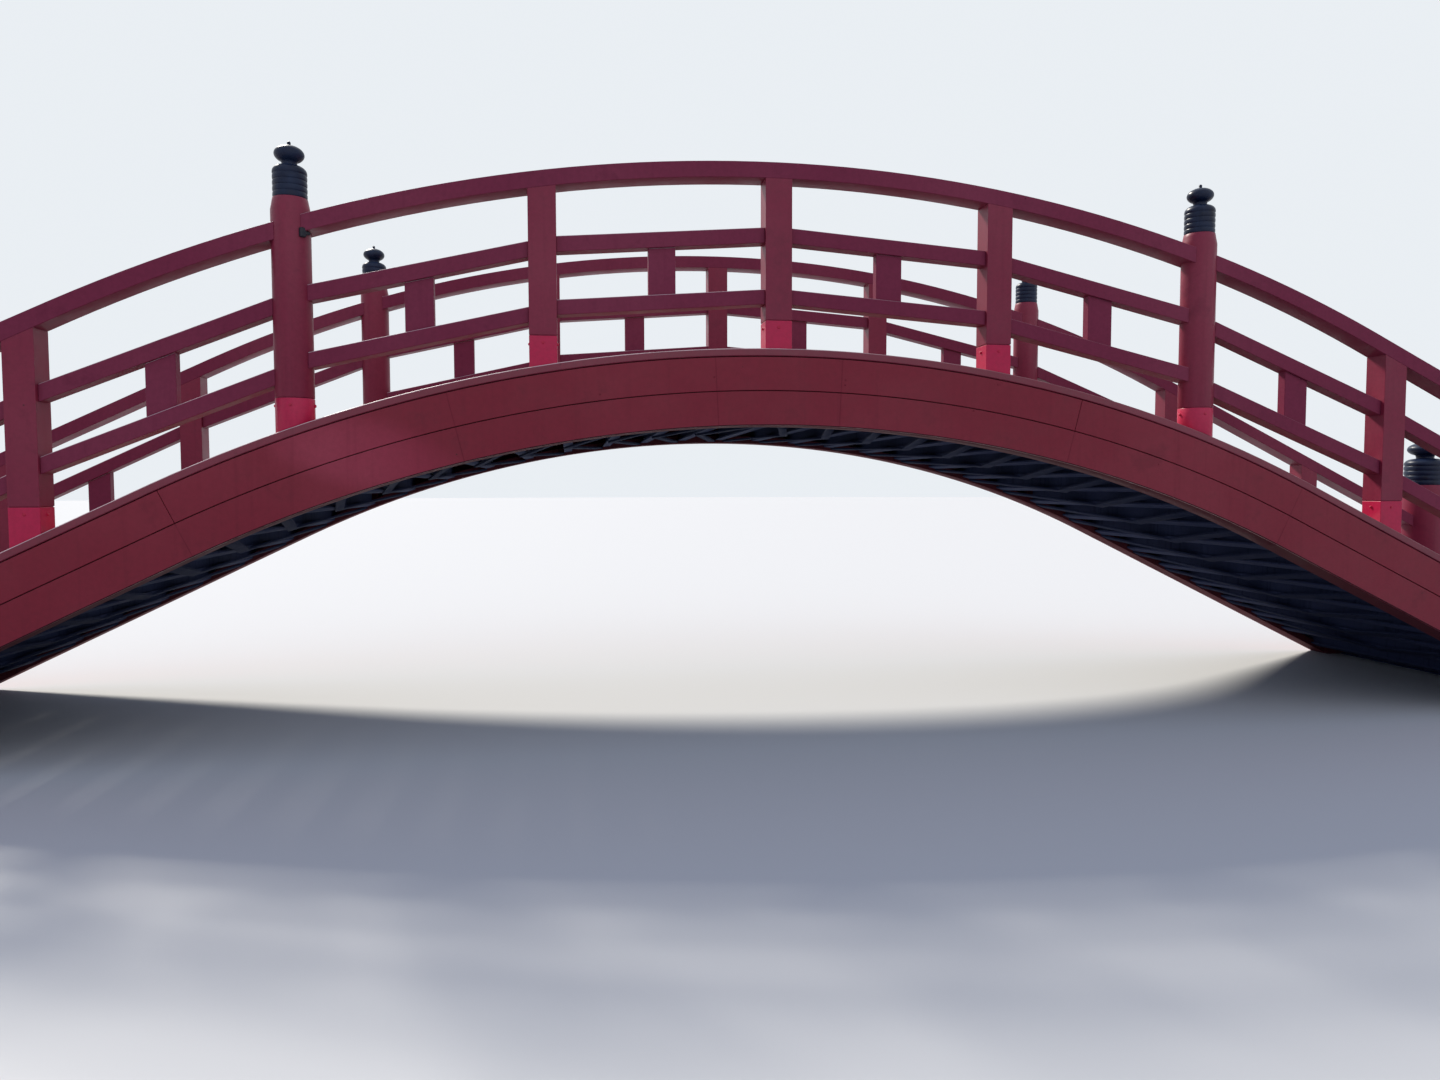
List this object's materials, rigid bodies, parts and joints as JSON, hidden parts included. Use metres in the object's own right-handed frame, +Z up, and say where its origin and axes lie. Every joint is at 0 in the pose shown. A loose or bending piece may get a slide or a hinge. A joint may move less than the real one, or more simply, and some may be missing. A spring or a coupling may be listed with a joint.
{
  "type": "arched footbridge",
  "caption": "Red arched moon bridge with twin edge girders, stepped deck, post and rail railings, dark onion-shaped post caps and ramps that run down to ground level.",
  "frame": {"origin": "centre of the footprint at ground level, under the crown of the arch", "axes": "+X along the span towards the picture's right, +Y from the near face to the far face, +Z up"},
  "size_m": [13.2308, 2.72, 3.2837],
  "materials": {
    "red_paint": "weathered semi-gloss vermilion paint on steel",
    "bright_red_paint": "fresh glossy red paint",
    "girder_steel": "dull red-brown primer with grime",
    "dark_steel": "dark grimy paint",
    "cap_bronze": "dark patinated casting",
    "step_wood": "weathered boards",
    "plinth_stone": "rough cut stone",
    "landing_stone": "broom-finished concrete"
  },
  "bodies": {
    "root": {"front_girder": "girder_steel", "rear_girder": "girder_steel", "front_kerb": "red_paint", "rear_kerb": "red_paint", "front_upper_band": "red_paint", "rear_upper_band": "red_paint", "front_lower_band": "red_paint", "rear_lower_band": "red_paint", "front_square_posts": "red_paint", "rear_square_posts": "red_paint", "front_round_posts": "red_paint", "rear_round_posts": "red_paint", "front_sleeves": "bright_red_paint", "rear_sleeves": "bright_red_paint", "front_finials": "cap_bronze", "rear_finials": "cap_bronze", "front_top_rail": "red_paint", "rear_top_rail": "red_paint", "front_mid_rails": "red_paint", "rear_mid_rails": "red_paint", "front_low_rails": "red_paint", "rear_low_rails": "red_paint", "front_struts": "red_paint", "rear_struts": "red_paint", "end_posts": "red_paint", "end_finials": "cap_bronze", "plinths": "plinth_stone", "left_landing": "landing_stone", "right_landing": "landing_stone", "left_steps": "step_wood", "right_steps": "step_wood", "crown_step": "step_wood", "left_cross_beams": "dark_steel", "right_cross_beams": "dark_steel", "crown_beam": "dark_steel", "left_braces": "dark_steel", "right_braces": "dark_steel"}
  },
  "joints": []
}
